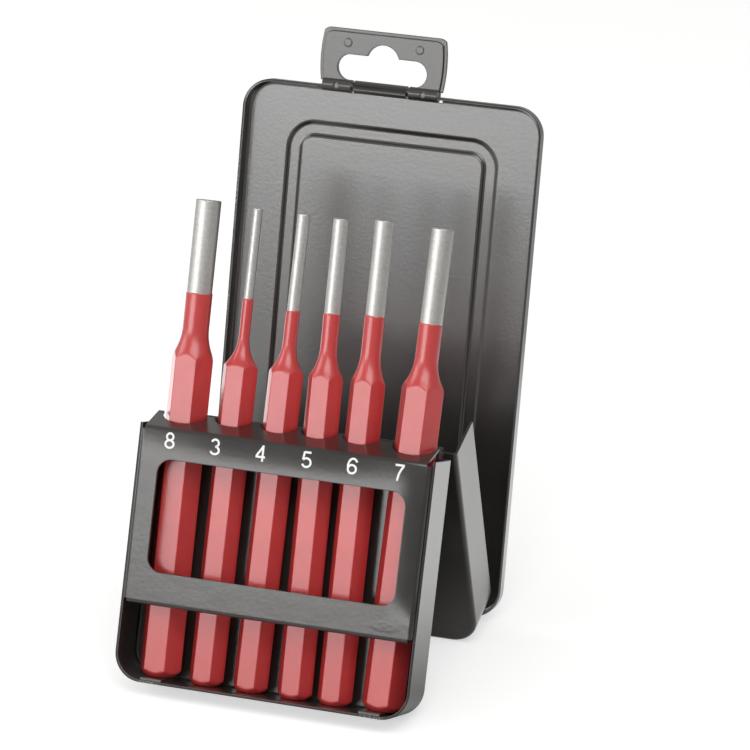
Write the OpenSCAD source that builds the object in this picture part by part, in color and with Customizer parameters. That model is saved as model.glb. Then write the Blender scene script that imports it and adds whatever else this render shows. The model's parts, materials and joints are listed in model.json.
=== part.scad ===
// Pin punch set in a folding sheet-steel case that stands open as an easel.
// Lengths are in millimetres and angles in degrees. X is the width, the front
// faces -Y and Z is up. The origin lies on the table, under the middle of the
// whole easel.
// Each shell is drawn flat: its floor in XY with the outer face at z = 0, its
// end edge on y = 0 and its open side towards +z, and is then stood in place.

/* [Sheet] */
// Thickness of the sheet steel
sheet = 0.8; // [0.6:0.05:0.9]
// Width of the tray and of the middle shell, outside
case_w = 97.6; // [94:0.2:110]
// Depth of the tray and of the middle shell, floor to rim
shell_depth = 16.9; // [16:0.1:20]
// Outside radius of the bend between a shell's floor and its walls
wall_bend = 1.4; // [1.2:0.1:1.8]
// Corner radius of the tray and the middle shell, seen from the front
corner_r = 9; // [7:0.5:11]

/* [Easel] */
// Length of the tray, from its end wall to its hinge edge
tray_h = 81.4; // [78:0.2:90]
// How far the tray leans back from upright
tray_lean = 20; // [17:0.5:22]
// How far the middle shell leans forward from upright
middle_lean = 17; // [15:0.5:19]
// How far the back shell leans back from upright
back_lean = 14.7; // [13:0.1:17]
// Length of the side walls' ends that lap inside the tray's end wall
lap_len = 7; // [5:0.5:9]
// Distance that the laps stay below the rim
lap_drop = 0.5; // [0.3:0.1:1.5]

/* [Back shell] */
// Depth of the back shell, floor to rim
back_depth = 5.4; // [5:0.1:6]
// Outside radius of the bend round the back shell
back_bend = 2; // [1.6:0.1:2.2]
// Corner radius of the back shell
back_corner_r = 9.6; // [8:0.2:11]
// Gap between the back shell's side walls and the shells that it closes over
side_gap = 1.2; // [0.6:0.1:2]
// Gap between the back shell's end walls and the shells that it closes over
end_gap = 0.65; // [0.5:0.05:0.8]
// Overlap of the rims when the case is shut
lid_overlap = 1.8; // [1.5:0.1:2]
// Distance from the back shell's side to the pressed ring
ring_side = 15.2; // [13:0.2:18]
// Distance from the back shell's end to the pressed ring
ring_end = 12.8; // [11:0.2:15]
// Width of the pressed ring
ring_w = 4.3; // [3.5:0.1:5]
// Depth of the pressed ring
ring_sink = 0.7; // [0.5:0.05:0.9]
// Outer corner radius of the pressed ring
ring_r = 9; // [8:0.2:11]

/* [Hinges] */
// Diameter of the hinge pins
pin_d = 2.5; // [2.2:0.05:2.6]
// Radial running clearance between a pin and its knuckles
pin_clear = 0.05; // [0.03:0.01:0.08]
// Gap between neighbouring knuckles, and between a barrel and a cut edge
knuckle_gap = 0.25; // [0.2:0.05:0.4]
// Distance of the top hinge's axis outside the shells' floors
top_hinge_set = 1.9; // [1.7:0.05:1.9]
// Distance from the shells' sides to the top hinge's outer knuckles
top_hinge_end = 3.8; // [2.8:0.2:8.8]
// Distance of the bottom hinge's axis outside the middle shell's end wall
bottom_hinge_set = 1.5; // [1.45:0.05:1.6]
// Distance of the bottom hinge's axis below the middle shell's rim
bottom_hinge_drop = 3.2; // [2.6:0.1:3.6]
// Distance from the shells' sides to the bottom hinge's outer knuckles
bottom_hinge_end = 12.8; // [11.8:0.2:18.8]

/* [Hanger] */
// Width of the hanger at its widest
hanger_w = 43; // [41:0.2:46]
// Height of the hanger above its pin
hanger_h = 18.6; // [18:0.1:22]
// How far the hanger sits to the left of the middle
hanger_left = 5; // [0:0.1:6]
// Top corner radius of the hanger
hanger_r = 3; // [2:0.2:4]
// How far the hanger's sides bow out
hanger_bow = 0.9; // [0.5:0.1:1.5]
// Distance that the front layer of the hanger stays inside the rear layer
layer_step = 1.1; // [0.8:0.1:1.4]
// Width of the hanger's end knuckles
end_knuckle_w = 9.9; // [9:0.1:11]
// Width of the middle knuckle, which belongs to the back shell
middle_knuckle_w = 17.8; // [16:0.2:19]
// Gap between the hanger's knuckles
hanger_gap = 0.9; // [0.6:0.1:1.2]
// Height of the hanger's pin above the back shell's outer face
hanger_rise = 2.3; // [2.25:0.05:2.4]
// Distance of the hanger's pin beyond the back shell's end face
hanger_out = 0.2; // [0.15:0.05:0.6]
// Width of the hanging slot
slot_w = 30.5; // [28:0.5:32]
// Height of the hanging slot's ends
slot_h = 8.4; // [7.5:0.1:9]
// Height of the slot's middle above the pin
slot_y = 6.2; // [6:0.1:6.8]
// Radius of the slot's raised middle
dome_r = 5.6; // [5:0.1:6]
// Height of the dome's middle above the pin
dome_y = 8.8; // [8.4:0.1:9]
// Diameter of the clinched buttons that join the hanger's layers
clinch_d = 2.6; // [2:0.1:3]
// Height of the clinched buttons
clinch_rise = 0.25; // [0.15:0.05:0.4]
// Diameter of the staking marks on the hanger's end knuckles
stake_d = 1.8; // [1.2:0.1:2]

/* [Punch holder] */
// Height of the holder's front face
holder_h = 56.4; // [50:0.2:60]
// Distance of the holder's top below the tray's hinge edge
holder_drop = 0.3; // [0:0.1:2]
// How far the holder's face stands out of the tray's rim
holder_proud = 1.5; // [1:0.1:1.9]
// Outside bend radius of the holder
holder_bend = 1.3; // [1.1:0.1:1.6]
// Gap between the holder's side flanges and the tray's walls
holder_gap = 0.1; // [0.05:0.05:0.3]
// Length of the side flanges, front to back
flange_side = 12; // [8:0.5:14]
// Length of the top flange, front to back
flange_top = 12.2; // [11.5:0.1:12.6]
// How far the top flange rises towards the back
flange_tilt = 22; // [16:1:25]
// Length of the lip under the holder's face
lip = 3; // [2.5:0.1:3.2]
// Distance from the case's sides to the holder's window
window_side = 7.8; // [5.8:0.2:10.8]
// Height of the holder's window
window_h = 35.6; // [30:0.2:38]
// Distance of the window below the holder's top
window_drop = 10.2; // [9:0.2:12]
// Corner radius of the window
window_r = 4.5; // [3:0.5:6]
// Clearance round the punches' corners in the holder
nest_play = 0.45; // [0.3:0.05:0.6]

/* [Punches] */
// Length of every punch
punch_len = 151; // [150:1:154]
// Hexagon size of the thin punches, across the flats
thin_af = 10; // [9.5:0.1:10]
// Hexagon size of the thick punches, across the flats
thick_af = 12; // [11.5:0.1:12]
// Tip diameter of the first punch from the left
tip_1 = 8; // [7.5:0.1:8]
// Tip diameter of the second punch
tip_2 = 3; // [2.8:0.1:3.2]
// Tip diameter of the third punch
tip_3 = 4; // [3.8:0.1:4.2]
// Tip diameter of the fourth punch
tip_4 = 5; // [4.8:0.1:5.2]
// Tip diameter of the fifth punch
tip_5 = 6; // [5.8:0.1:6.2]
// Tip diameter of the sixth punch
tip_6 = 7; // [6.8:0.1:7]
// Length of the bare tip
bare_len = 30; // [28:1:32]
// Length of the painted round neck above the flare
neck_len = 10.5; // [10:0.5:13]
// Length of the flare from the neck to the hexagon's corners
flare_len = 9.5; // [9:0.5:11]
// How much thicker the painted neck is than the tip, on the diameter
neck_extra = 0.4; // [0.4:0.1:0.6]
// Chamfer at the tip's edge
tip_edge = 0.25; // [0.2:0.05:0.3]
// Gap under the punches' ends and behind their flats
rest_gap = 0.1; // [0.1:0.05:0.2]

/* [Hidden] */
facets = 96;
knuckles_top = 7;
knuckles_bottom = 5;

// One overrun serves every cut
over = 1;
// How far neighbouring pieces of one outline reach into each other
knit = 0.02;
pin_r = pin_d / 2;
bore_r = pin_r + pin_clear;
barrel_r = bore_r + sheet;
top_hinge_w = case_w - 2 * top_hinge_end;
bottom_hinge_w = case_w - 2 * bottom_hinge_end;
window_w = case_w - 2 * window_side;

// Distance from a hinge axis to a cut sheet edge that clears the barrel
function edge_back(set) = sqrt(pow(barrel_r + knuckle_gap, 2) - pow(set, 2));
top_edge = edge_back(top_hinge_set);
bottom_edge = edge_back(bottom_hinge_set);

// The hinge height puts the tray's lower back edge on the table
axis_z = (tray_h + top_edge - wall_bend) * cos(tray_lean)
         - (wall_bend + top_hinge_set) * sin(tray_lean) + wall_bend;
// The middle shell's length puts its lower front edge on the table too
middle_h = (axis_z - wall_bend + (wall_bend + top_hinge_set) * sin(middle_lean))
           / cos(middle_lean) + wall_bend - top_edge;

// Place of the bottom hinge's axis, seen from the top hinge's axis
low_z = shell_depth - bottom_hinge_drop;
low_drop = middle_h + top_edge + bottom_hinge_set;
low_reach = low_z + top_hinge_set;
low_axis_y = low_drop * sin(middle_lean) + low_reach * cos(middle_lean);
low_axis_z = axis_z - low_drop * cos(middle_lean) + low_reach * sin(middle_lean);

// The back shell closes over both of the others
shut_len = tray_h + middle_h + 2 * top_edge;
back_w = case_w + 2 * (side_gap + sheet);
back_h = shut_len + 2 * (end_gap + sheet);
shut_depth = shell_depth - lid_overlap + back_depth;

// The bottom hinge's axis in the back shell's own frame
low_back_y = end_gap + sheet - bottom_hinge_set;
low_back_z = shut_depth - low_z;

// The holder fits between the tray's side walls
holder_w = case_w - 2 * (sheet + holder_gap);
holder_z = shell_depth + holder_proud;
holder_top = tray_h - holder_drop;

hanger_y = back_h + hanger_out;

// The front and the back of the whole easel, seen from the top hinge's axis,
// put the origin under its middle
front_y = -(tray_h + top_edge) * sin(tray_lean)
          - (shell_depth + top_hinge_set) * cos(tray_lean);
rear_y = low_axis_y + (hanger_y + hanger_h - low_back_y) * sin(back_lean)
         - (hanger_rise - sheet - low_back_z) * cos(back_lean);
hinge_y = -(front_y + rear_y) / 2;
barrel_w = 2 * (end_knuckle_w + hanger_gap) + middle_knuckle_w;
clinch_x_share = 0.57;
clinch_y_share = 0.76;
stake_x_share = 0.75;
stake_depth_share = 0.5;
butt_share = 0.8;

// Punches from left to right: tip and hexagon, then each one's length and bare
// tip as shares of the lengths given above
tips = [tip_1, tip_2, tip_3, tip_4, tip_5, tip_6];
hexes = [thick_af, thin_af, thin_af, thin_af, thin_af, thick_af];
len_shares = [1, 1, 1, 1, 1.007, 1];
bare_shares = [0.98, 0.95, 1.02, 1, 1, 0.99];
last = len(tips) - 1;
// Half a hexagon's width over its corners, as a share of its size
corner_share = 0.57735;

// Shares of the tray's spare width that lie to the left of each punch, between
// the butts and in the holder. What is left lies beside the right wall.
butt_gap_shares = [0.195, 0.117, 0.147, 0.148, 0.08, 0.154];
nest_gap_shares = [0.167, 0.141, 0.16, 0.088, 0.101, 0.233];
function sum_to(list, i) = i < 0 ? 0 : list[i] + sum_to(list, i - 1);
function widths_to(i) = 2 * corner_share * sum_to(hexes, i);
inner_w = case_w - 2 * sheet;
spare_w = inner_w - widths_to(last);
// Middle of punch i, from a list of those shares
function place(gap_shares, i) = spare_w * sum_to(gap_shares, i) + widths_to(i)
                                - corner_share * hexes[i] - inner_w / 2;
// Lean of punch i to the left, from its butt to its place in the holder
function lean(i) = atan((place(butt_gap_shares, i) - place(nest_gap_shares, i))
                        / holder_top);

// Outline of a shell that is open at its hinge edge and round at its end
module tongue(w, h, r) {
    translate([-w / 2, r])
        square([w, h - r]);
    translate([r - w / 2, 0])
        square([w - 2 * r, 2 * r]);
    for (side = [-1, 1])
        translate([side * (w / 2 - r), r])
            circle(r, $fn = facets);
}

// Outline with four round corners, standing on y = 0
module round_plate(w, h, r) {
    translate([-w / 2, r])
        square([w, h - 2 * r]);
    translate([r - w / 2, 0])
        square([w - 2 * r, h]);
    for (side = [-1, 1], y = [r, h - r])
        translate([side * (w / 2 - r), y])
            circle(r, $fn = facets);
}

// Section of a wall with its bend, from the outer face inwards
module wall_section(depth, bend) {
    translate([0, bend])
        square([sheet, depth - bend]);
    intersection() {
        translate([bend, bend])
            difference() {
                circle(bend, $fn = facets);
                circle(bend - sheet, $fn = facets);
            }
        square([bend, bend]);
    }
}

// Straight wall along x, on the end edge
module end_wall(len, depth, bend) {
    translate([-len / 2, 0, 0])
        rotate([90, 0, 90])
            linear_extrude(len)
                wall_section(depth, bend);
}

// Both side walls, from y0 to y1
module side_walls(w, y0, y1, depth, bend) {
    for (side = [0, 1])
        mirror([side, 0, 0])
            translate([-w / 2, y1, 0])
                rotate([90, 0, 0])
                    linear_extrude(y1 - y0)
                        wall_section(depth, bend);
}

// Round corner wall: a quarter turn about the corner's centre
module corner_wall(r, depth, bend) {
    rotate_extrude(angle = 90, $fn = facets)
        translate([r, 0])
            mirror([1, 0])
                wall_section(depth, bend);
}

// Pan that is open at its hinge edge: the tray and the middle shell
module open_pan(h) {
    linear_extrude(sheet)
        translate([0, wall_bend])
            tongue(case_w - 2 * wall_bend, h - wall_bend, corner_r - wall_bend);
    end_wall(case_w - 2 * corner_r, shell_depth, wall_bend);
    side_walls(case_w, corner_r, h, shell_depth, wall_bend);
    for (side = [0, 1])
        mirror([side, 0, 0])
            translate([corner_r - case_w / 2, corner_r, 0])
                rotate([0, 0, 180])
                    corner_wall(corner_r, shell_depth, wall_bend);
}

// Round bar along x
module bar(r, len) {
    rotate([0, 90, 0])
        cylinder(r = r, h = len, center = true, $fn = facets);
}

// One rolled knuckle about the x axis
module knuckle(len) {
    difference() {
        bar(barrel_r, len);
        bar(bore_r, len + over);
    }
}

// Middle of knuckle i of n over a hinge of width w
function knuckle_x(i, n, w) = (i + 0.5) * w / n - w / 2;

// Knuckles of one leaf: first is 0 or 1, and tab draws the sheet that holds one
module leaf(n, w, first) {
    for (i = [first : 2 : n - 1])
        translate([knuckle_x(i, n, w), 0, 0])
            knuckle(w / n - knuckle_gap);
}

// Sheet tab along a leaf's knuckles, from y = -reach to the axis
module leaf_tabs(n, w, first, reach) {
    for (i = [first : 2 : n - 1])
        translate([knuckle_x(i, n, w) - (w / n - knuckle_gap) / 2, -reach, 0])
            cube([w / n - knuckle_gap, reach, sheet]);
}

// Leaf on the hinge edge of an open pan of length h
module top_leaf(h, first) {
    translate([0, h + top_edge, -top_hinge_set])
        leaf(knuckles_top, top_hinge_w, first);
    translate([0, h + top_edge, 0])
        leaf_tabs(knuckles_top, top_hinge_w, first, top_edge + sheet);
}

// A shell's flat drawing stood in place, with its top hinge at the origin
module stand_tray() {
    translate([0, hinge_y, axis_z])
        rotate([90 - tray_lean, 0, 0])
            translate([0, -tray_h - top_edge, top_hinge_set])
                children();
}

module stand_middle() {
    translate([0, hinge_y, axis_z])
        rotate([90 - middle_lean, 0, 180])
            translate([0, -middle_h - top_edge, top_hinge_set])
                children();
}

module stand_back() {
    translate([0, hinge_y + low_axis_y, low_axis_z])
        rotate([90 - back_lean, 0, 0])
            translate([0, -low_back_y, -low_back_z])
                children();
}

// Tray: one folded sheet, its side walls' ends lapped inside its end wall
module tray() {
    color([0.16, 0.16, 0.17])
        stand_tray() {
            open_pan(tray_h);
            top_leaf(tray_h, 0);
            for (side = [0, 1])
                mirror([side, 0, 0])
                    translate([corner_r - case_w / 2, sheet, wall_bend])
                        cube([lap_len, sheet, shell_depth - wall_bend - lap_drop]);
        }
}

// Middle shell: a second pan, whose end wall carries the bottom hinge
module middle_shell() {
    own_x = bottom_hinge_w / knuckles_bottom - knuckle_gap;
    color([0.14, 0.14, 0.15])
        stand_middle() {
            difference() {
                open_pan(middle_h);
                translate([-bottom_hinge_w / 2, -over, low_z - bottom_edge])
                    cube([bottom_hinge_w, over + 2 * sheet, shell_depth]);
            }
            top_leaf(middle_h, 1);
            for (i = [1 : 2 : knuckles_bottom - 1])
                translate([knuckle_x(i, knuckles_bottom, bottom_hinge_w) - own_x / 2,
                           0, low_z - bottom_edge - sheet])
                    cube([own_x, sheet, bottom_edge + sheet]);
            translate([0, -bottom_hinge_set, low_z])
                leaf(knuckles_bottom, bottom_hinge_w, 1);
        }
}

// Ring that is pressed into the back shell, between two outlines
module ring_band(grow) {
    w = back_w - 2 * ring_side;
    h = back_h - 2 * ring_end;
    difference() {
        translate([0, ring_end - grow])
            round_plate(w + 2 * grow, h + 2 * grow, ring_r + grow);
        translate([0, ring_end + ring_w + grow])
            round_plate(w - 2 * (ring_w + grow), h - 2 * (ring_w + grow),
                        ring_r - ring_w - grow);
    }
}

// Floor of the back shell with the pressed ring
module back_floor() {
    difference() {
        union() {
            linear_extrude(sheet)
                translate([0, back_bend])
                    round_plate(back_w - 2 * back_bend, back_h - 2 * back_bend,
                                back_corner_r - back_bend);
            translate([0, 0, -ring_sink])
                linear_extrude(ring_sink + sheet / 2)
                    ring_band(sheet);
        }
        translate([0, 0, sheet - ring_sink])
            linear_extrude(ring_sink + over)
                ring_band(0);
    }
}

// Back shell: the shallow lid of the shut case, and the easel's back
module back_shell() {
    own_x = bottom_hinge_w / knuckles_bottom - knuckle_gap;
    notch = barrel_w + 2 * hanger_gap;
    color([0.24, 0.24, 0.25])
        stand_back() {
            difference() {
                union() {
                    back_floor();
                    side_walls(back_w, back_corner_r, back_h - back_corner_r,
                               back_depth, back_bend);
                    for (end = [0, 1])
                        translate([0, end * back_h, 0])
                            mirror([0, end, 0])
                                end_wall(back_w - 2 * back_corner_r,
                                         back_depth, back_bend);
                    for (side = [0, 1], end = [0, 1])
                        translate([0, end * back_h, 0])
                            mirror([0, end, 0])
                                mirror([side, 0, 0])
                                    translate([back_corner_r - back_w / 2,
                                               back_corner_r, 0])
                                        rotate([0, 0, 180])
                                            corner_wall(back_corner_r,
                                                        back_depth, back_bend);
                }
                translate([-bottom_hinge_w / 2, -over, low_back_z - barrel_r - knuckle_gap])
                    cube([bottom_hinge_w, over + low_back_y + barrel_r + knuckle_gap,
                          back_depth]);
                translate([-hanger_left - notch / 2, back_h - back_bend, -over])
                    cube([notch, back_bend + over, back_depth + 2 * over]);
            }
            for (i = [0 : 2 : knuckles_bottom - 1])
                translate([knuckle_x(i, knuckles_bottom, bottom_hinge_w) - own_x / 2,
                           0, low_back_z - barrel_r - knuckle_gap - sheet / 2])
                    cube([own_x, sheet, knuckle_gap + sheet]);
            translate([0, low_back_y, low_back_z])
                leaf(knuckles_bottom, bottom_hinge_w, 0);
            translate([-hanger_left, hanger_y, hanger_rise])
                knuckle(middle_knuckle_w);
            translate([-hanger_left - middle_knuckle_w / 2, back_h - back_bend - sheet, 0])
                cube([middle_knuckle_w, hanger_y - back_h + back_bend + sheet, sheet]);
        }
}

// Outline of the hanger above its pin, made smaller by inset
module hanger_outline(inset) {
    w = hanger_w - 2 * inset;
    h = hanger_h - inset;
    half_h = hanger_h / 2;
    bow_r = (pow(half_h, 2) + pow(hanger_bow, 2)) / (2 * hanger_bow);
    intersection() {
        translate([0, -h])
            round_plate(w, 2 * h, hanger_r);
        translate([-w / 2, barrel_r / 2])
            square([w, h]);
        translate([bow_r - w / 2, half_h])
            circle(bow_r, $fn = 4 * facets);
        translate([w / 2 - bow_r, half_h])
            circle(bow_r, $fn = 4 * facets);
    }
}

// The hanging slot with its raised middle
module hanging_slot() {
    r = slot_h / 2;
    translate([r - slot_w / 2, slot_y - r])
        square([slot_w - 2 * r, slot_h]);
    for (side = [-1, 1])
        translate([side * (slot_w / 2 - r), slot_y])
            circle(r, $fn = facets);
    translate([0, dome_y])
        circle(dome_r, $fn = facets);
}

// Hanger: one sheet folded round its pin, its two layers clinched together
module hanger() {
    mid_gap = middle_knuckle_w + 2 * hanger_gap;
    color([0.34, 0.34, 0.35])
        stand_back()
            translate([-hanger_left, hanger_y, hanger_rise])
                difference() {
                    union() {
                        difference() {
                            union() {
                                translate([0, 0, -sheet])
                                    linear_extrude(sheet)
                                        hanger_outline(0);
                                linear_extrude(sheet)
                                    hanger_outline(layer_step);
                            }
                            translate([0, 0, -sheet - over])
                                linear_extrude(2 * (sheet + over))
                                    hanging_slot();
                            translate([-mid_gap / 2, -over, -sheet - over])
                                cube([mid_gap, over + barrel_r + knuckle_gap,
                                      2 * (sheet + over)]);
                            bar(bore_r, hanger_w + over);
                        }
                        for (side = [-1, 1])
                            translate([side * (barrel_w - end_knuckle_w) / 2, 0, 0])
                                knuckle(end_knuckle_w);
                        for (side = [-1, 1])
                            translate([side * clinch_x_share * hanger_w / 2,
                                       clinch_y_share * hanger_h, sheet / 2])
                                cylinder(d = clinch_d, h = sheet / 2 + clinch_rise,
                                         $fn = facets);
                    }
                    for (side = [-1, 1])
                        translate([side * stake_x_share * barrel_w / 2, 0,
                                   barrel_r - stake_depth_share * sheet])
                            cylinder(d = stake_d, h = over, $fn = facets);
                }
}

// The pins run through all the knuckles of their hinge
module top_hinge_pin() {
    color([0.6, 0.6, 0.62])
        translate([0, hinge_y, axis_z])
            bar(pin_r, top_hinge_w - knuckle_gap);
}

module bottom_hinge_pin() {
    color([0.6, 0.6, 0.62])
        translate([0, hinge_y + low_axis_y, low_axis_z])
            bar(pin_r, bottom_hinge_w - knuckle_gap);
}

module hanger_pin() {
    color([0.6, 0.6, 0.62])
        stand_back()
            translate([-hanger_left, hanger_y, hanger_rise])
                bar(pin_r, barrel_w);
}

// Height of a punch's middle line above the tray's outer face
function punch_z(i) = sheet + rest_gap + hexes[i] / 2;
// Radius of the place for punch i in the holder's top flange
function nest_r(i) = corner_share * hexes[i] + nest_play;

// Side view of the holder: lip, face and top flange, from the face backwards
module holder_side() {
    r = holder_bend;
    low_y = holder_top - holder_h;
    translate([0, low_y + r])
        square([sheet, holder_h - 2 * r]);
    translate([r, low_y])
        square([lip - r, sheet]);
    intersection() {
        translate([r, low_y + r])
            difference() {
                circle(r, $fn = facets);
                circle(r - sheet, $fn = facets);
            }
        translate([0, low_y])
            square([r, r]);
    }
    translate([r, holder_top - r]) {
        rotate(flange_tilt)
            translate([-knit, r - sheet])
                square([flange_top - r + knit, sheet]);
        intersection() {
            difference() {
                circle(r, $fn = facets);
                circle(r - sheet, $fn = facets);
            }
            polygon([[0, 0], [-2 * r, 0], [-2 * r, 2 * r],
                     [-2 * r * sin(flange_tilt), 2 * r * cos(flange_tilt)]]);
        }
    }
}

// Punch holder: a folded plate with a window, welded between the side walls
module punch_holder() {
    r = holder_bend;
    face_w = holder_w - 2 * r;
    color([0.22, 0.22, 0.23])
        stand_tray() {
            difference() {
                translate([-face_w / 2, 0, holder_z])
                    rotate([0, 90, 0])
                        linear_extrude(face_w)
                            holder_side();
                translate([0, holder_top - window_drop - window_h, holder_z - sheet - over])
                    linear_extrude(sheet + 2 * over)
                        round_plate(window_w, window_h, window_r);
                for (i = [0 : last])
                    translate([place(nest_gap_shares, i), holder_top - over, punch_z(i)])
                        rotate([-90, 0, 0])
                            cylinder(r = nest_r(i), h = flange_top, $fn = facets);
            }
            for (side = [0, 1])
                mirror([side, 0, 0])
                    translate([-holder_w / 2, holder_top - r, holder_z])
                        rotate([90, 0, 0])
                            linear_extrude(holder_h - 2 * r)
                                mirror([0, 1])
                                    wall_section(flange_side, r);
        }
}

// Outline of a punch, from its butt up: chamfer, body, flare, neck and tip.
// It is wider than the hexagon, which cuts it back to the flats.
module punch_profile(tip, af, len, bare) {
    corner = corner_share * af;
    wide = corner + over;
    butt_r = butt_share * af / 2;
    neck_r = (tip + neck_extra) / 2;
    flare_top = punch_len - bare_len - neck_len;
    paint_top = len - bare;
    rise = corner - neck_r - knit;
    flare_r = (pow(flare_len, 2) + pow(rise, 2)) / (2 * rise);
    wide_len = sqrt(pow(flare_r, 2) - pow(flare_r - rise - over, 2));
    polygon([[0, 0], [butt_r, 0], [wide, wide - butt_r],
             [wide, flare_top - wide_len + knit], [0, flare_top - wide_len + knit]]);
    difference() {
        translate([0, flare_top - wide_len])
            square([wide, wide_len]);
        translate([neck_r + knit + flare_r, flare_top])
            circle(flare_r, $fn = 2 * facets);
    }
    translate([0, flare_top - knit])
        square([neck_r, paint_top - flare_top + knit]);
    polygon([[0, paint_top - knit], [tip / 2, paint_top - knit],
             [tip / 2, len - tip_edge], [tip / 2 - tip_edge, len], [0, len]]);
}

// Punch i: a hexagon bar turned down to its tip
module punch(i) {
    tip = tips[i];
    af = hexes[i];
    len = len_shares[i] * punch_len;
    // The outer two stand on the laps, the others on the end wall
    rest = (af == thick_af ? 2 * sheet : sheet) + rest_gap;
    color([0.72, 0.16, 0.17])
        stand_tray()
            translate([place(butt_gap_shares, i), rest, punch_z(i)])
                rotate([0, 0, lean(i)])
                    rotate([-90, 0, 0])
                        intersection() {
                            rotate_extrude($fn = facets)
                                punch_profile(tip, af, len, bare_shares[i] * bare_len);
                            cylinder(r = corner_share * af, h = len, $fn = 6);
                        }
}

tray();
punch_holder();
middle_shell();
back_shell();
hanger();
top_hinge_pin();
bottom_hinge_pin();
hanger_pin();
punch(0);  // punch_8
punch(1);  // punch_3
punch(2);  // punch_4
punch(3);  // punch_5
punch(4);  // punch_6
punch(5);  // punch_7
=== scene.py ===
# Looks of a pin punch set in a folding sheet-steel case that stands open as an
# easel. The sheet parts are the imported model's own, painted here. The punches
# are turned again, with softened edges, enamel up to a dip line and bare tips.
import json
import math

import bpy
from mathutils import Matrix, Vector


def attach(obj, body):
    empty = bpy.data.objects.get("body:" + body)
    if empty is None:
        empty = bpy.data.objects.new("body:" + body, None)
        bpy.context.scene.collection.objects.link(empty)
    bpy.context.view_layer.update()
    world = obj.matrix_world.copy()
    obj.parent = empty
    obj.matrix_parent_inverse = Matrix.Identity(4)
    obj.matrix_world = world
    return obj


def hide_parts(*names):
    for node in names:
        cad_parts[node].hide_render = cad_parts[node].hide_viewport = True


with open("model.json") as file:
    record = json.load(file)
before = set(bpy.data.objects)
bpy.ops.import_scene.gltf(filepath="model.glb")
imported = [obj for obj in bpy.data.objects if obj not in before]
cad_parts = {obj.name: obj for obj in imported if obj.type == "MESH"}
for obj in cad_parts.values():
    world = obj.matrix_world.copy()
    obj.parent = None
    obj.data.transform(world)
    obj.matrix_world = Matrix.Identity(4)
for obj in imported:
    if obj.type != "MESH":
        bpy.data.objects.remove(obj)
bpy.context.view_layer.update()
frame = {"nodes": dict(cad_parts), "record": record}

# Camera: a long lens on a tripod, in front of the case, to its right and above
# it, far enough away that upright edges stay nearly parallel.
camera_place = Vector((0.46956, -1.31025, 0.66682))
camera_down = math.radians(22.57)
camera_turn = math.radians(19.14)
film_width = 36
focal_length = 227.84

lens = bpy.data.cameras.new("long_lens")
lens.sensor_width = film_width
lens.lens = focal_length
camera = bpy.data.objects.new("long_lens", lens)
camera.location = camera_place
camera.rotation_euler = (math.pi / 2 - camera_down, 0, camera_turn)
bpy.context.collection.objects.link(camera)
bpy.context.scene.camera = camera
bpy.context.scene.view_settings.view_transform = "Standard"


# Studio: a pale table that runs on into a burnt-out background, a long low soft
# box in front, one beside it on the left, one overhead, and two pools of painted
# light behind the case, a glow in the table's own material that only reflections
# see, mirrored by its right walls and the punches' left sides.
table_size = 6.0
table_tone = (0.66, 0.66, 0.655, 1)
table_blur = 0.9
table_white_level = 0.55
light_pools = [
    # middle on the table, reach, glow
    ((0.14, 0.10, 0), 0.16, 0.80),
    ((-0.27, 0.20, 0), 0.22, 1.05),
]
burnt_out = (1, 1, 1, 1)
room_tone = (1, 0.995, 0.985, 1)
# The room's brightness, from its left side to its right, by direction
left_light = 0.45
right_light = 0.30
left_side = -0.6
right_side = 0.5
lamp_aim = Vector((0, 0, 0.08))
soft_boxes = [
    # name, middle, width, height, brightness
    ("low_front_box", (-0.72, -1.28, 0.52), 1.15, 0.38, 4.75),
    ("left_box", (-1.45, -0.35, 0.90), 1.0, 1.0, 2.1),
    ("overhead_box", (0.50, -0.65, 1.30), 1.3, 0.9, 3.0),
]


def add(tree, kind, inputs=None, **settings):
    """A new shader node. A socket among the inputs is linked, and a value is set."""
    made = tree.nodes.new("ShaderNode" + kind)
    for key, value in settings.items():
        setattr(made, key, value)
    for key, value in (inputs or {}).items():
        if isinstance(value, bpy.types.NodeSocket):
            tree.links.new(value, made.inputs[key])
        else:
            made.inputs[key].default_value = value
    return made


def calc(tree, operation, *values):
    """The result of one Math node."""
    return add(tree, "Math", dict(enumerate(values)), operation=operation).outputs[0]


def new_material(name):
    """A material with its node tree and its Principled shader."""
    material = bpy.data.materials.new(name)
    material.use_nodes = True
    return material, material.node_tree, material.node_tree.nodes["Principled BSDF"]


world = bpy.data.worlds.new("studio_room")
world.use_nodes = True
bpy.context.scene.world = world
room = world.node_tree
room.nodes.clear()
sideways = add(room, "SeparateXYZ", {"Vector": add(room, "TexCoord").outputs["Generated"]}).outputs["X"]
level = add(room, "MapRange", {"Value": sideways, "From Min": left_side, "From Max": right_side,
                               "To Min": left_light, "To Max": right_light}).outputs["Result"]
felt = add(room, "Background", {"Color": room_tone, "Strength": level})
seen = add(room, "Background", {"Color": burnt_out, "Strength": 1.0})
by_camera = add(room, "LightPath").outputs["Is Camera Ray"]
either = add(room, "MixShader", {0: by_camera, 1: felt.outputs[0], 2: seen.outputs[0]})
add(room, "OutputWorld", {"Surface": either.outputs[0]})

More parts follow.
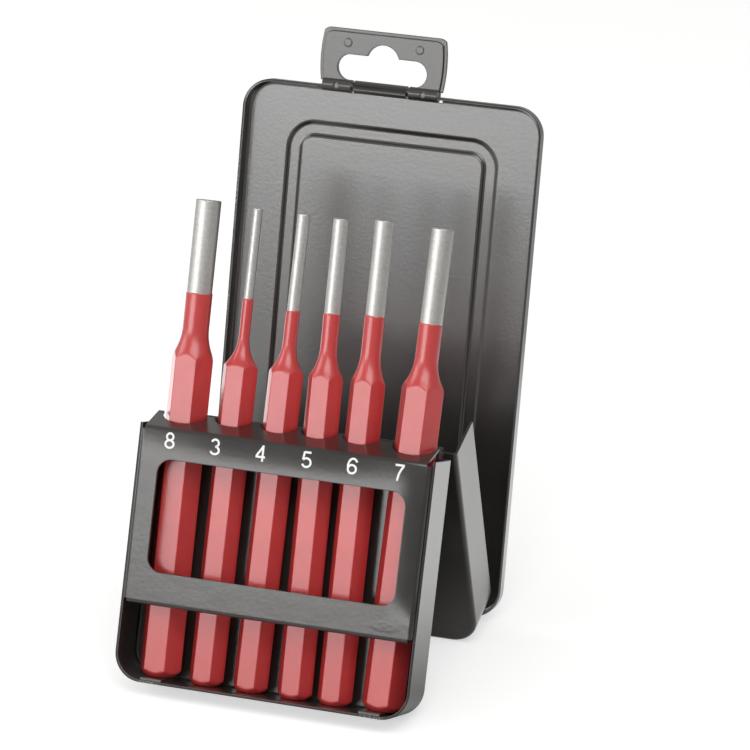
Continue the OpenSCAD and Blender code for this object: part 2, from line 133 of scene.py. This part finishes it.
half = table_size / 2
table_mesh = bpy.data.meshes.new("table_top")
table_mesh.from_pydata(
    [(-half, -half, 0), (half, -half, 0), (half, half, 0), (-half, half, 0)], [], [(0, 1, 2, 3)]
)
table = bpy.data.objects.new("table_top", table_mesh)
bpy.context.collection.objects.link(table)
table_white, tree, shader = new_material("table_white")
rays = add(tree, "LightPath").outputs
spot = add(tree, "TexCoord").outputs["Object"]
pools = 0
# Painted light: the pools glow in the table's own material, and only glossy rays see them
for middle, reach, glow in light_pools:
    far = add(tree, "VectorMath", {0: spot, 1: middle}, operation="DISTANCE").outputs["Value"]
    pool = add(tree, "MapRange", {"Value": far, "From Min": reach, "From Max": reach / 2, "To Max": glow})
    pools = calc(tree, "ADD", pools, pool.outputs["Result"])
mirrored = calc(tree, "MULTIPLY", rays["Is Glossy Ray"], pools)
shine = calc(tree, "MULTIPLY_ADD", rays["Is Camera Ray"], table_white_level, mirrored)
tree.links.new(shine, shader.inputs["Emission Strength"])
shader.inputs["Emission Color"].default_value = burnt_out
shader.inputs["Base Color"].default_value = table_tone
shader.inputs["Roughness"].default_value = table_blur
table_mesh.materials.append(table_white)

for name, middle, width, height, brightness in soft_boxes:
    lamp = bpy.data.lights.new(name, "AREA")
    lamp.shape = "RECTANGLE"
    lamp.size = width
    lamp.size_y = height
    lamp.energy = brightness * math.pi * width * height
    box = bpy.data.objects.new(name, lamp)
    box.location = middle
    toward_case = lamp_aim - box.location
    box.rotation_euler = toward_case.to_track_quat("-Z", "Y").to_euler()
    bpy.context.collection.objects.link(box)


# Tray: the front shell, a pan folded from 0.8 mm sheet steel with lapped
# corners, degreased and stove-enamelled black, semi-gloss with orange peel.
# The enamel has flaked off along its bottom rim, beside both laps.
mm = 0.001
tray_lean = math.radians(20)
tray_below_axis = 82.783 * mm
tray_behind_axis = 1.9 * mm
sheet = 0.8 * mm
tray_half = Vector((48.8, 60)) * mm
tray_corner = 9 * mm
tray_black = 0.030
pan_blur = 0.34
pan_peels = 700
pan_peel_height = 0.016 * mm
enamel_chips = [
    # place on the tray as it lies flat, and how far the flakes spread, in millimetres
    ((-37.5, 0, 16.9), (5.5, 0.9, 1.0)),
    ((37.5, 0, 16.9), (6.5, 0.9, 1.0)),
]

# Black enamel on every sheet part: noise scales per metre, heights as shares of the peel
cloud_scale = 42
grain_scale = 2600
grain_height = 0.08
pit_cells = 90
pit_radius = 0.05
pit_share = 0.12
pit_depth = 1.2
edge_radius = 0.40 * mm
edge_from = 0.985
edge_full = 0.80
worn_black = 0.06
pit_black = 0.004
flaked_steel = (0.46, 0.45, 0.44, 1)
gloss_blur = 0.20
# Where the cloud is darkest and lightest, as shares of the tone and of the blur
cloud_tones = (0.75, 1.3)
cloud_blurs = (0.85, 1.2)
# Curl of a rim's cut edge, per metre
rim_roll = 800

joints = {joint["name"]: joint for joint in frame["record"]["behaviour"]["joints"]}


def standing(joint, lean, shift):
    """The place of a sheet part that leans back from its hinge, as a matrix."""
    upright = Matrix.Rotation(math.pi / 2 - lean, 4, "X")
    return Matrix.Translation(Vector(joints[joint]["pos_m"])) @ upright @ Matrix.Translation(shift)


tray_stand = standing("top_hinge", tray_lean, (0, -tray_below_axis, tray_behind_axis))


def masked(tree, low, high, factor):
    """The colour low where the factor is 0 and high where it is 1."""
    mix = add(tree, "Mix", {"Factor": factor}, data_type="RGBA")
    for name, colour in (("A", low), ("B", high)):
        if isinstance(colour, bpy.types.NodeSocket):
            tree.links.new(colour, mix.inputs[name])
        else:
            mix.inputs[name].default_value = colour
    return mix.outputs["Result"]


def stepped(tree, value, low, high):
    """0 at low and 1 at high, with a smooth rise between them."""
    rise = add(tree, "MapRange", {"Value": value, "From Min": low, "From Max": high})
    rise.interpolation_type = "SMOOTHSTEP"
    return rise.outputs["Result"]


def noise(tree, place, scale, detail):
    """A cloudy pattern between 0 and 1."""
    return add(tree, "TexNoise", {"Vector": place, "Scale": scale, "Detail": detail}).outputs["Fac"]


def dark(level):
    """A tone that leans a little to brown, as black enamel does."""
    return (level, level * 0.87, level * 0.77, 1)


def specks(tree, place, per_metre, radius, share):
    """Small round spots in this share of the cells of a fine mesh."""
    cells = add(tree, "TexVoronoi", {"Vector": place, "Scale": per_metre}).outputs
    chosen = add(tree, "SeparateColor", {"Color": cells["Color"]}).outputs["Red"]
    spot = stepped(tree, cells["Distance"], radius, radius * 0.6)
    return calc(tree, "MULTIPLY", spot, stepped(tree, chosen, 1 - share, 1 - share + 0.01))


def thin_edges(tree, radius):
    """The normal of an edge rounded by its paint, and how much of an edge a place is."""
    round_normal = add(tree, "Bevel", {"Radius": radius}, samples=6).outputs["Normal"]
    flat_normal = add(tree, "NewGeometry").outputs["Normal"]
    along = add(tree, "VectorMath", {0: round_normal, 1: flat_normal}, operation="DOT_PRODUCT")
    return round_normal, stepped(tree, along.outputs["Value"], edge_from, edge_full)


def bumped(tree, height, distance, normal=None):
    """The normal of a surface with this height on it."""
    inputs = {"Height": height, "Distance": distance}
    if normal is not None:
        inputs["Normal"] = normal
    return add(tree, "Bump", inputs).outputs["Normal"]


def spread_of(tree, own, middle, reach):
    """1 at a spot on a sheet part, falling to 0 at its reach."""
    scale = [1 / (r * mm) for r in reach]
    shift = [-m / r for m, r in zip(middle, reach)]
    round_spot = add(tree, "Mapping", {"Vector": own, "Location": shift, "Scale": scale}).outputs[0]
    far = add(tree, "VectorMath", {0: round_spot}, operation="LENGTH").outputs["Value"]
    return stepped(tree, far, 1.0, 0.5)


def beyond_outline(tree, across, along, half, corner):
    """Distance outside a rounded rectangle, negative inside it."""
    past_x = calc(tree, "SUBTRACT", calc(tree, "ABSOLUTE", across), half.x - corner)
    past_y = calc(tree, "SUBTRACT", calc(tree, "ABSOLUTE", along), half.y - corner)
    out_x = calc(tree, "POWER", calc(tree, "MAXIMUM", past_x, 0), 2)
    out_y = calc(tree, "POWER", calc(tree, "MAXIMUM", past_y, 0), 2)
    outside = calc(tree, "SQRT", calc(tree, "ADD", out_x, out_y))
    inside = calc(tree, "MINIMUM", calc(tree, "MAXIMUM", past_x, past_y), 0)
    return calc(tree, "SUBTRACT", calc(tree, "ADD", outside, inside), corner)


def rolled_rim(tree, beyond):
    """Height of a rim whose cut edge is rounded over to the outside."""
    over_edge = calc(tree, "MAXIMUM", calc(tree, "ADD", beyond, sheet), 0)
    return calc(tree, "MULTIPLY", calc(tree, "POWER", over_edge, 2), -rim_roll)


def tray_rim(tree, own):
    """Height of the tray's rim over its flat cut."""
    across, along, _ = add(tree, "SeparateXYZ", {"Vector": own}).outputs
    along = calc(tree, "SUBTRACT", along, tray_half.y)
    return rolled_rim(tree, beyond_outline(tree, across, along, tray_half, tray_corner))


def black_enamel(name, tone, blur, peels, peel_height, ior, stand=Matrix(), chips=(), form=None):
    """Semi-gloss black on sheet: orange peel, a few pits, thin edges and flaked spots."""
    material, tree, shader = new_material(name)
    place = add(tree, "TexCoord").outputs["Object"]
    lying = stand.inverted()
    own = add(tree, "Mapping", {"Vector": place, "Location": lying.to_translation(),
                                "Rotation": lying.to_euler()}).outputs[0]
    cloud = noise(tree, place, cloud_scale, 3)
    peel = noise(tree, place, peels, 1)
    grain = noise(tree, place, grain_scale, 2)
    pit = specks(tree, place, pit_cells, pit_radius, pit_share)
    round_normal, edge = thin_edges(tree, edge_radius)
    worn = calc(tree, "MULTIPLY", edge, stepped(tree, grain, 0.45, 0.65))
    low, high = cloud_tones
    body = masked(tree, dark(tone * low), dark(tone * high), stepped(tree, cloud, 0.3, 0.7))
    body = masked(tree, body, dark(worn_black), worn)
    body = masked(tree, body, dark(pit_black), pit)
    if chips:
        flaked = 0
        flakes = stepped(tree, grain, 0.53, 0.57)
        for middle, reach in chips:
            lost = calc(tree, "MULTIPLY", spread_of(tree, own, middle, reach), flakes)
            flaked = calc(tree, "MAXIMUM", flaked, lost)
        body = masked(tree, body, flaked_steel, flaked)
    tree.links.new(body, shader.inputs["Base Color"])
    low, high = cloud_blurs
    rough = add(tree, "MapRange", {"Value": cloud, "To Min": blur * low, "To Max": blur * high})
    tree.links.new(rough.outputs["Result"], shader.inputs["Roughness"])
    height = calc(tree, "MULTIPLY_ADD", grain, grain_height, peel)
    height = calc(tree, "MULTIPLY_ADD", pit, -pit_depth, height)
    normal = bumped(tree, height, peel_height, round_normal)
    if form:
        normal = bumped(tree, form(tree, own), 1.0, normal)
    tree.links.new(normal, shader.inputs["Normal"])
    tree.links.new(normal, shader.inputs["Coat Normal"])
    shader.inputs["IOR"].default_value = ior
    shader.inputs["Coat Weight"].default_value = 1.0
    shader.inputs["Coat IOR"].default_value = ior
    shader.inputs["Coat Roughness"].default_value = gloss_blur
    return material


def finish_node(node, material):
    """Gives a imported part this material."""
    frame["nodes"][node].material_slots[0].material = material


tray_enamel = black_enamel(
    "tray_enamel", tone=tray_black, blur=pan_blur, peels=pan_peels, peel_height=pan_peel_height,
    ior=1.49, stand=tray_stand, chips=enamel_chips, form=tray_rim,
)
finish_node("tray", tray_enamel)


# Punch holder: one plate folded round the front of the tray, with a window
# punched in its face and round notches in its top flange, welded inside the
# tray's walls. Its face has sprung: the strip over the window and the right bar
# lean back, and it is scuffed at the lower right.
holder_black = 0.025
# Curl of the strip and of the bar, per metre
strip_curl = 11
bar_curl = 11.5
strip_from = 69.0 * mm
strip_end = 48 * mm
strip_middle = 8 * mm
end_share = 0.6
bar_from = 36.5 * mm
bar_foot = 30 * mm
bar_full = 42 * mm
dent_scale = 130
dent_height = 0.045 * mm
# Place and reach of the scuff on the tray as it lies flat, in millimetres
scuff_middle = (38.5, 29.0, 18.4)
scuff_reach = (6.0, 2.0, 1.0)
scuff_scale = 900
scuff_height = 0.035 * mm


def sprung_face(tree, own):
    """Height of the holder's face over a flat one, in metres."""
    across, along, _ = add(tree, "SeparateXYZ", {"Vector": own}).outputs
    over_window = calc(tree, "MAXIMUM", calc(tree, "SUBTRACT", along, strip_from), 0)
    strip = calc(tree, "MULTIPLY", calc(tree, "POWER", over_window, 2), -strip_curl)
    bulge = stepped(tree, calc(tree, "ABSOLUTE", across), strip_end, strip_middle)
    strip = calc(tree, "MULTIPLY", strip, calc(tree, "MULTIPLY_ADD", bulge, 1 - end_share, end_share))
    past_window = calc(tree, "MAXIMUM", calc(tree, "SUBTRACT", across, bar_from), 0)
    bar = calc(tree, "MULTIPLY", calc(tree, "POWER", past_window, 2), -bar_curl)
    bar = calc(tree, "MULTIPLY", bar, stepped(tree, along, bar_foot, bar_full))
    dents = calc(tree, "MULTIPLY", noise(tree, own, dent_scale, 1), dent_height)
    scuff = calc(tree, "MULTIPLY", spread_of(tree, own, scuff_middle, scuff_reach), scuff_height)
    scuff = calc(tree, "MULTIPLY", scuff, noise(tree, own, scuff_scale, 2))
    return calc(tree, "ADD", calc(tree, "ADD", strip, bar), calc(tree, "ADD", dents, scuff))


holder_enamel = black_enamel(
    "holder_enamel", tone=holder_black, blur=0.29, peels=720, peel_height=0.024 * mm,
    ior=1.45, stand=tray_stand, form=sprung_face,
)
finish_node("punch_holder", holder_enamel)


# Middle shell: a pan like the tray, hinged to it along the top, that leans the
# other way and makes the easel's rear leg.
middle_enamel = black_enamel(
    "middle_enamel", tone=tray_black, blur=pan_blur, peels=pan_peels, peel_height=pan_peel_height,
    ior=1.35,
)
finish_node("middle_shell", middle_enamel)


# Back shell: the shallow lid of the folded case, a drawn pan with a ring pressed
# into its floor to stiffen it. It stands up behind the punches. Its left rim is
# chipped where it rubs on a shelf.
lid_lean = math.radians(14.7)
lid_axis_up = -0.05 * mm
lid_axis_in = 6.8 * mm
lid_half = Vector((50.8, 83.44)) * mm
lid_corner = 9.6 * mm
lid_black = 0.026
ring_half = Vector((35.6, 70.64)) * mm
ring_corner = 9 * mm
ring_width = 4.3 * mm
ring_depth = 0.7 * mm
ring_shoulder = 1.8 * mm
back_from = 0.06 * mm
back_full = 0.04 * mm
rim_chips = [
    # place on the lid as it lies flat, and how far the flakes spread, in millimetres
    ((-50.8, 128, 5.4), (0.7, 20, 0.7)),
    ((-50.8, 92, 5.4), (0.7, 8, 0.7)),
]

lid_stand = standing("bottom_hinge", lid_lean, (0, -lid_axis_up, -lid_axis_in))


def pressed_lid(tree, own):
    """Height of the ring's rounded shoulders, sunk in front and raised behind, and of the rim."""
    across, along, through = add(tree, "SeparateXYZ", {"Vector": own}).outputs
    along = calc(tree, "SUBTRACT", along, lid_half.y)
    beyond = beyond_outline(tree, across, along, ring_half, ring_corner)
    behind = stepped(tree, through, back_from, back_full)
    wider = calc(tree, "MULTIPLY", behind, sheet)
    outer = calc(tree, "SUBTRACT", beyond, wider)
    inner = calc(tree, "ADD", calc(tree, "ADD", beyond, wider), ring_width)
    in_ring = calc(tree, "SUBTRACT", stepped(tree, outer, ring_shoulder / 2, -ring_shoulder / 2),
                   stepped(tree, inner, ring_shoulder / 2, -ring_shoulder / 2))
    ring = calc(tree, "MULTIPLY", in_ring, calc(tree, "MULTIPLY_ADD", behind, 2 * ring_depth, -ring_depth))
    rim = rolled_rim(tree, beyond_outline(tree, across, along, lid_half, lid_corner))
    return calc(tree, "ADD", ring, rim)


lid_enamel = black_enamel(
    "lid_enamel", tone=lid_black, blur=0.32, peels=900, peel_height=0.018 * mm,
    ior=1.68, stand=lid_stand, chips=rim_chips, form=pressed_lid,
)
finish_node("back_shell", lid_enamel)


# Hanger: two layers of thin plate clinched together, the front one a little
# smaller, rolled round its pin at the back shell's top edge.
hanger_black = 0.025

hanger_enamel = black_enamel(
    "hanger_enamel", tone=hanger_black, blur=0.36, peels=900, peel_height=0.016 * mm, ior=1.53,
)
finish_node("hanger", hanger_enamel)


# Hinge pins: drawn steel wire, cut to length, pushed through the rolled
# knuckles before the paint, so that only their ends carry a black film.
film_scale = 900
film_height = 0.01 * mm
film_black = 0.05
bare_wire = 0.30
wire_blur = 0.42

pin_steel, tree, shader = new_material("pin_wire")
film = noise(tree, add(tree, "TexCoord").outputs["Object"], film_scale, 4)
tone = masked(tree, dark(film_black), dark(bare_wire), stepped(tree, film, 0.42, 0.66))
tree.links.new(tone, shader.inputs["Base Color"])
tree.links.new(bumped(tree, film, film_height), shader.inputs["Normal"])
shader.inputs["Metallic"].default_value = 1.0
shader.inputs["Roughness"].default_value = wire_blur
for pin in ("top_hinge_pin", "bottom_hinge_pin", "hanger_pin"):
    finish_node(pin, pin_steel)


# Printed digits: the tip sizes in millimetres, pad printed in white ink on the
# holder's face, one above each punch.
face_out = 18.4 * mm
digit_foot = 74.3 * mm
digit_scale = 0.96
digit_line = 0.67 * mm
# Each digit's middle across the face, in millimetres
digit_places = {"8": -37.9, "3": -22.7, "4": -7.6, "5": 7.65, "6": 22.5, "7": 37.9}
bow_steps = 24
# A stroke whose ends are this near to each other is a ring, in millimetres
same_point = 0.001
ink_film = 0.01 * mm
ink_sunk = 0.02 * mm
ink_scale = 1400
ink_grain = 0.006 * mm
thin_ink = (0.66, 0.66, 0.65, 1)
full_ink = (0.90, 0.90, 0.89, 1)
ink_blur = 0.5


def bow(middle, radii, start, stop):
    """Points along part of an ellipse, between two angles in degrees."""
    turns = [math.radians(start + (stop - start) * i / bow_steps) for i in range(bow_steps + 1)]
    return [(middle[0] + radii[0] * math.cos(a), middle[1] + radii[1] * math.sin(a)) for a in turns]


# Middle lines of each digit's strokes, in millimetres from its foot before scaling
digit_strokes = {
    "8": [bow((0, 3.95), (1.12, 1.13), 0, 360), bow((0, 1.56), (1.42, 1.23), 0, 360)],
    "3": [bow((-0.1, 3.93), (1.20, 1.15), 165, -88) + bow((-0.1, 1.55), (1.45, 1.23), 86, -162)],
    "4": [[(0.75, 0), (0.75, 5.35)], [(0.82, 5.15), (-1.45, 1.62)], [(-1.62, 1.50), (1.62, 1.50)]],
    "5": [[(-1.02, 5.07), (1.32, 5.07)], [(-0.92, 5.2), (-1.28, 2.62)],
          bow((-0.05, 1.74), (1.45, 1.42), 146, -158)],
    "6": [bow((0.05, 1.67), (1.38, 1.35), 0, 360), bow((0.28, 2.55), (1.66, 2.53), 190, 36)],
    "7": [[(-1.50, 5.07), (1.60, 5.07)],
          [(1.42, 4.95), (0.62, 3.75), (0, 2.35), (-0.32, 1.1), (-0.45, 0)]],
}


def side_faces(rings, around, looped=False):
    """Faces between rings of equally many points, with the last joined to the first if looped."""
    faces = []
    for ring in range(rings if looped else rings - 1):
        here = ring * around
        there = (ring + 1) % rings * around
        for i in range(around):
            j = (i + 1) % around
            faces.append((here + i, here + j, there + j, there + i))
    return faces


def stroke(points, top):
    """Corner points and faces of one solid stroke of ink along a middle line."""
    looped = math.dist(points[0], points[-1]) < same_point
    if looped:
        points = points[:-1]
    count = len(points)
    corners = []
    for i, point in enumerate(points):
        before = points[i - 1] if looped else points[max(i - 1, 0)]
        after = points[(i + 1) % count] if looped else points[min(i + 1, count - 1)]
        run = Vector((after[0] - before[0], after[1] - before[1])).normalized()
        side = Vector((-run.y, run.x)) * digit_line / 2
        middle = Vector(point) * digit_scale * mm
        corners += [(*(middle + side), top), (*(middle - side), top),
                    (*(middle - side), -ink_sunk), (*(middle + side), -ink_sunk)]
    faces = side_faces(count, 4, looped)
    if not looped:
        last = 4 * count - 4
        faces += [(3, 2, 1, 0), (last, last + 1, last + 2, last + 3)]
    return corners, faces


white_ink, tree, shader = new_material("white_ink")
cover = noise(tree, add(tree, "TexCoord").outputs["Object"], ink_scale, 3)
tone = masked(tree, thin_ink, full_ink, stepped(tree, cover, 0.25, 0.5))
tree.links.new(tone, shader.inputs["Base Color"])
tree.links.new(bumped(tree, cover, ink_grain), shader.inputs["Normal"])
shader.inputs["Roughness"].default_value = ink_blur

for digit, across in digit_places.items():
    corners = []
    faces = []
    for number, points in enumerate(digit_strokes[digit]):
        # Where two strokes cross, the later one lies a little higher
        more, quads = stroke(points, ink_film * (1 + number / 4))
        faces += [tuple(len(corners) + corner for corner in quad) for quad in quads]
        corners += more
    ink = bpy.data.meshes.new("digit_" + digit)
    ink.from_pydata(corners, [], faces)
    ink.materials.append(white_ink)
    printed = bpy.data.objects.new("digit_" + digit, ink)
    printed.matrix_world = tray_stand @ Matrix.Translation((across * mm, digit_foot, face_out))
    bpy.context.collection.objects.link(printed)
    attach(printed, "tray_body")


# Punches: hexagon bar of tool steel, turned down to a flare, a neck and a round
# tip, hardened, dipped in red enamel as far as the neck's end, and the tip ground
# bright and oiled.
thick = 12 * mm
thin = 10 * mm
hexagon = {"punch_8": thick, "punch_3": thin, "punch_4": thin,
           "punch_5": thin, "punch_6": thin, "punch_7": thick}
bar_len = 110.5 * mm
flare_len = 9.5 * mm
flare_reach = 1.15 * flare_len
tip_chamfer = 0.25 * mm
tip_step = 4 * mm
tip_facets = 72
butt_share = 0.8
enamel_film = 0.2 * mm
corner_round = 0.32 * mm
crease_round = 0.30 * mm
dip_wave = 0.18 * mm
dip_overlap = 0.03 * mm
socket_depth = 1.5 * mm
side_angle = math.radians(60)
half_angle = side_angle / 2

# Red enamel and ground steel: noise scales per metre, the dust's height as a share of the peel
red_cloud_scale = 90
red_peels = 1000
red_peel_height = 0.022 * mm
rubbed_scale = 1500
dust_cells = 240
dust_radius = 0.15
dust_share = 0.05
dust_height = 1.2
red_edge_radius = 0.3 * mm
deep_red = (0.51, 0.037, 0.037, 1)
thin_red = (0.57, 0.045, 0.045, 1)
rubbed_red = (0.82, 0.24, 0.21, 1)
red_blur = 0.34
red_gloss_blur = 0.24
grinding_stretch = (0.03, 0.03, 2.6)
grinding_scale = 900
grinding_height = 0.0005 * mm
bloom_scale = 1100
bloom_share = 0.6
oiled_steel = (0.55, 0.54, 0.52, 1)
bright_steel = (0.67, 0.66, 0.64, 1)
steel_blurs = (0.41, 0.49)

tray_front = tray_stand.to_3x3() @ Vector((0, 0, 1))


def even_steps(start, stop, step):
    """Even steps from start up to and with stop."""
    count = max(1, round((stop - start) / step))
    return [start + (stop - start) * i / count for i in range(count + 1)]


def corner_tangent(size):
    """Angle from a corner's middle line to where its fillet meets the flat."""
    fillet_middle = (size / 2 - corner_round) / math.cos(half_angle)
    return math.atan2(
        corner_round * math.sin(half_angle),
        fillet_middle + corner_round * math.cos(half_angle),
    )


def bar_angles(size):
    """Directions round a hexagon, close together at its rounded corners."""
    fillet_at = corner_tangent(size)
    steps = [fillet_at * share for share in (0, 1 / 3, 2 / 3, 1, 1.25)]
    steps += [math.radians(degrees) for degrees in range(5, 31, 5)]
    half_side = sorted(set(steps))
    whole_side = half_side + [side_angle - angle for angle in reversed(half_side[1:-1])]
    return [side_angle * side + angle for side in range(6) for angle in whole_side]


def bar_radius(size, angle):
    """Radius of the hexagon bar with its paint-softened corners, in one direction."""
    from_corner = abs((angle + half_angle) % side_angle - half_angle)
    if from_corner >= corner_tangent(size):
        return size / 2 / math.cos(half_angle - from_corner)
    fillet_middle = (size / 2 - corner_round) / math.cos(half_angle)
    reach = corner_round**2 - (fillet_middle * math.sin(from_corner)) ** 2
    return fillet_middle * math.cos(from_corner) + math.sqrt(reach)


def turned_radius(size, neck, height):
    """Radius that the lathe leaves at this height: butt chamfer, flare and neck."""
    corner = size / math.sqrt(3)
    butt = butt_share * size / 2
    flare = (flare_len**2 + (corner - neck) ** 2) / (2 * (corner - neck))
    below = bar_len - height
    if below <= 0:
        return neck
    swept = neck + flare - math.sqrt(flare**2 - min(below, flare_reach) ** 2)
    return min(butt + height, swept)


def softer_of(a, b):
    """The smaller of two radii, eased where they cross."""
    near = max(crease_round - abs(a - b), 0) / crease_round
    return min(a, b) - near**2 * crease_round / 4


def skin(name, rings):
    """A closed skin over rings of equally many points, with flat ends."""
    around = len(rings[0])
    points = [point for ring in rings for point in ring]
    faces = side_faces(len(rings), around)
    faces.append(tuple(reversed(range(around))))
    faces.append(tuple(range(len(points) - around, len(points))))
    mesh = bpy.data.meshes.new(name)
    mesh.from_pydata(points, [], faces)
    mesh.shade_smooth()
    mesh.polygons[-1].use_smooth = False
    mesh.polygons[-2].use_smooth = False
    piece = bpy.data.objects.new(name, mesh)
    bpy.context.collection.objects.link(piece)
    return piece


def ring_at(height, angles, radius):
    """Points at one height, with a radius given for each direction."""
    return [(radius(a) * math.cos(a), radius(a) * math.sin(a), height) for a in angles]


def enamel_shank(name, size, neck, dip_line, bare, seed):
    """The painted part: hexagon bar, flare and neck, up to an uneven dip line."""
    angles = bar_angles(size)
    shoulder = bar_len - flare_len
    bands = [
        # start, stop and step: butt chamfer, bar, shoulders of the hexagon, flare, neck
        (0.45 * mm, 3.2 * mm, 0.25 * mm),
        (8 * mm, shoulder - 1.5 * mm, 8 * mm),
        (shoulder - 1.2 * mm, shoulder + 3.0 * mm, 0.12 * mm),
        (shoulder + 3.3 * mm, bar_len, 0.35 * mm),
        (bar_len + mm, dip_line - mm, 1.2 * mm),
    ]
    heights = [0, 0.2 * mm]
    for start, stop, step in bands:
        heights += even_steps(start, stop, step)
    rings = [ring_at(h, angles, lambda a, h=h: softer_of(bar_radius(size, a), turned_radius(size, neck, h)))
             for h in heights]
    waves = [dip_wave * (math.sin(a + seed) + 0.4 * math.sin(3 * a + 2 * seed)) for a in angles]
    rounded_end = [
        # inset and drop of each ring, the last one closed on the bare tip
        (0, 0.35 * mm),
        (0.02 * mm, 0.12 * mm),
        (0.09 * mm, 0.02 * mm),
        (neck - bare + dip_overlap, 0),
    ]
    for inset, drop in rounded_end:
        rings.append([((neck - inset) * math.cos(a), (neck - inset) * math.sin(a), dip_line - drop + wave)
                      for a, wave in zip(angles, waves)])
    return skin(name + "_shank", rings)


def ground_tip(name, bare, dip_line, end):
    """The bare tip: a ground cylinder with a small chamfer, seated in the neck."""
    angles = [2 * math.pi * i / tip_facets for i in range(tip_facets)]
    outline = [(bare, dip_line - socket_depth)]
    outline += [(bare, h) for h in even_steps(dip_line, end - tip_chamfer - 0.1 * mm, tip_step)]
    outline += [(bare, end - tip_chamfer), (bare - tip_chamfer * 0.3, end - tip_chamfer * 0.45),
                (bare - tip_chamfer, end)]
    return skin(name + "_tip", [ring_at(h, angles, lambda a, r=r: r) for r, h in outline])


def red_enamel(name):
    """Glossy red dip enamel: deep in colour, thinner and lighter on edges, with dust in it."""
    material, tree, shader = new_material(name)
    place = add(tree, "TexCoord").outputs["Object"]
    cloud = noise(tree, place, red_cloud_scale, 3)
    peel = noise(tree, place, red_peels, 1)
    dust = specks(tree, place, dust_cells, dust_radius, dust_share)
    round_normal, edge = thin_edges(tree, red_edge_radius)
    body = masked(tree, deep_red, thin_red, stepped(tree, cloud, 0.3, 0.7))
    rubbed = calc(tree, "MULTIPLY", edge, stepped(tree, noise(tree, place, rubbed_scale, 2), 0.40, 0.62))
    body = masked(tree, body, rubbed_red, rubbed)
    tree.links.new(body, shader.inputs["Base Color"])
    raised = calc(tree, "MULTIPLY_ADD", dust, dust_height, peel)
    normal = bumped(tree, raised, red_peel_height, round_normal)
    tree.links.new(normal, shader.inputs["Normal"])
    tree.links.new(normal, shader.inputs["Coat Normal"])
    shader.inputs["Roughness"].default_value = red_blur
    shader.inputs["Coat Weight"].default_value = 1.0
    shader.inputs["Coat Roughness"].default_value = red_gloss_blur
    return material


def ground_steel(name):
    """Bright steel with fine grinding rings round it and a light bloom of oil."""
    material, tree, shader = new_material(name)
    place = add(tree, "TexCoord").outputs["Object"]
    rings = add(tree, "Mapping", {"Vector": place, "Scale": grinding_stretch}).outputs["Vector"]
    lines = noise(tree, rings, grinding_scale, 2)
    bloom = noise(tree, place, bloom_scale, 3)
    marks = calc(tree, "MULTIPLY_ADD", bloom, bloom_share, calc(tree, "MULTIPLY", lines, 1 - bloom_share))
    tone = masked(tree, oiled_steel, bright_steel, stepped(tree, marks, 0.3, 0.7))
    tree.links.new(tone, shader.inputs["Base Color"])
    low, high = steel_blurs
    rough = add(tree, "MapRange", {"Value": lines, "To Min": low, "To Max": high})
    tree.links.new(rough.outputs["Result"], shader.inputs["Roughness"])
    tree.links.new(bumped(tree, lines, grinding_height), shader.inputs["Normal"])
    shader.inputs["Metallic"].default_value = 1.0
    return material


punch_enamel = red_enamel("punch_enamel")
tip_steel = ground_steel("tip_steel")
mounts = {mount["name"]: mount for mount in frame["record"]["mounts"]}
for seed, (name, size) in enumerate(hexagon.items()):
    mount = mounts[name.replace("punch", "tip")]
    tip_middle = Vector(mount["pos_m"])
    upward = Vector(mount["axis"])
    bare = mount["dims"]["r_mm"] * mm
    reach = [upward.dot(v.co) for v in frame["nodes"][name].data.vertices]
    butt = min(reach)
    end = max(reach) - butt
    dip_line = upward.dot(tip_middle) - butt - mount["dims"]["length_mm"] * mm / 2
    rear = -(tray_front - upward * tray_front.dot(upward)).normalized()
    across = rear.cross(upward)
    stand = Matrix((across, rear, upward)).transposed().to_4x4()
    stand.translation = tip_middle + upward * (butt - upward.dot(tip_middle))

    shank = enamel_shank(name, size, bare + enamel_film, dip_line, bare, seed)
    tip = ground_tip(name, bare, dip_line, end)
    shank.data.materials.append(punch_enamel)
    tip.data.materials.append(tip_steel)
    for piece in (shank, tip):
        piece.matrix_world = stand
        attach(piece, name + "_body")
        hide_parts(name)
